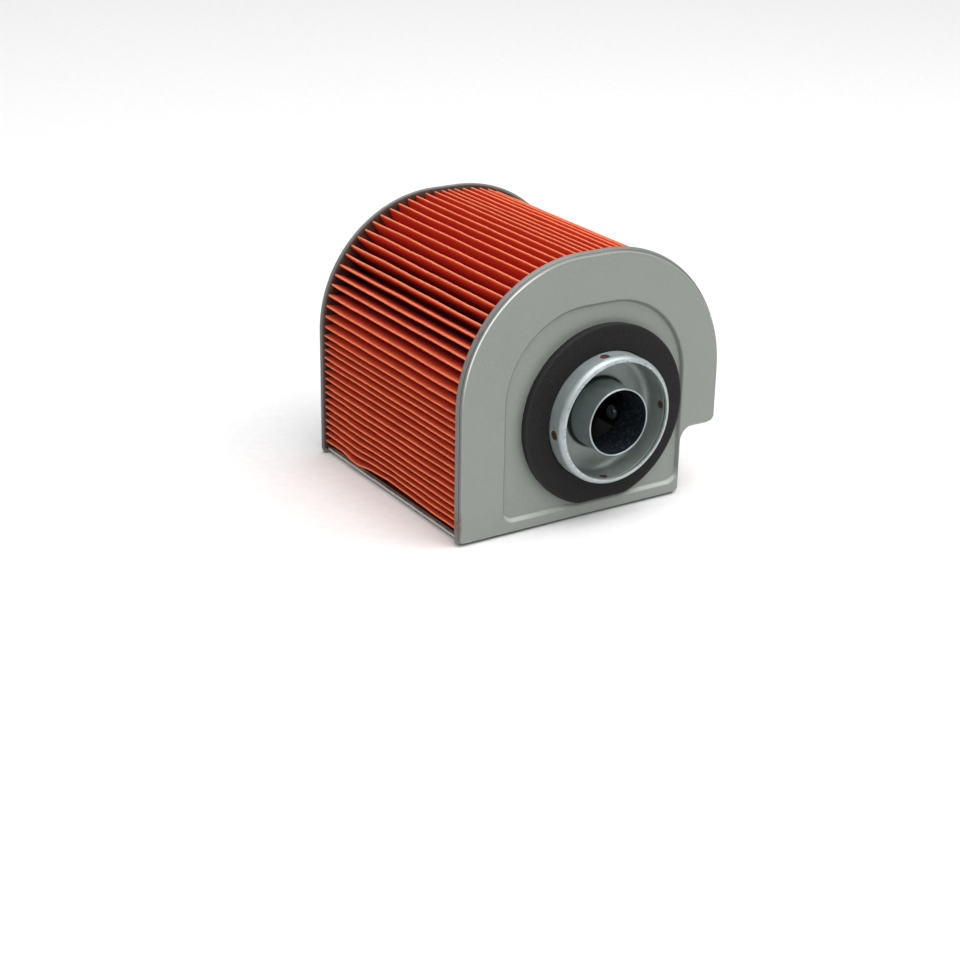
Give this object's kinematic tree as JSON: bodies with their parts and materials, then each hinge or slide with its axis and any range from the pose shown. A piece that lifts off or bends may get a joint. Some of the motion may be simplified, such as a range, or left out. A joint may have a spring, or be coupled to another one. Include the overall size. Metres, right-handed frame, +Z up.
{
  "type": "motorcycle air filter cartridge",
  "caption": "Arched pleated-paper filter cartridge between two pressed end plates, with a notched corner and a round collared outlet with a foam gasket.",
  "frame": {"origin": "centre of the bounding box's bottom, on the surface the cartridge stands on", "axes": "+Z up, -Y out of the outlet, +X towards the side with the notch"},
  "size_m": [0.12, 0.12, 0.1061],
  "materials": {
    "plate_paint": "satin greenish-grey paint, fine grain, bright wear along the bends",
    "pan_steel": "satin grey, bright along the folded edge",
    "filter_paper": "matte red-orange resin-treated filter paper, paler along the folds",
    "screen_steel": "bare sheet",
    "potting": "dark brown, slightly glossy",
    "rivet_alloy": "bare",
    "collar_steel": "zinc plated, raw sheared edge at the mouth",
    "cup_steel": "zinc plated, dull",
    "stake_steel": "scorched and lightly rusted",
    "tube_steel": "zinc plated, bright rolled rim",
    "gasket_foam": "charcoal black foam, fine closed cells",
    "tape_film": "thin adhesive film"
  },
  "bodies": {
    "root": {"front_plate": "plate_paint", "rear_plate": "plate_paint", "base_pan": "pan_steel", "pleated_media": "filter_paper", "inner_screen": "screen_steel", "front_sealant": "potting", "rear_sealant": "potting", "left_seam_bead": "potting", "right_seam_bead": "potting", "screen_rivet": "rivet_alloy", "outlet_collar": "collar_steel", "outlet_cup": "cup_steel", "collar_stakes": "stake_steel", "outlet_tube": "tube_steel", "outlet_gasket": "gasket_foam", "gasket_tape": "tape_film"}
  },
  "joints": []
}
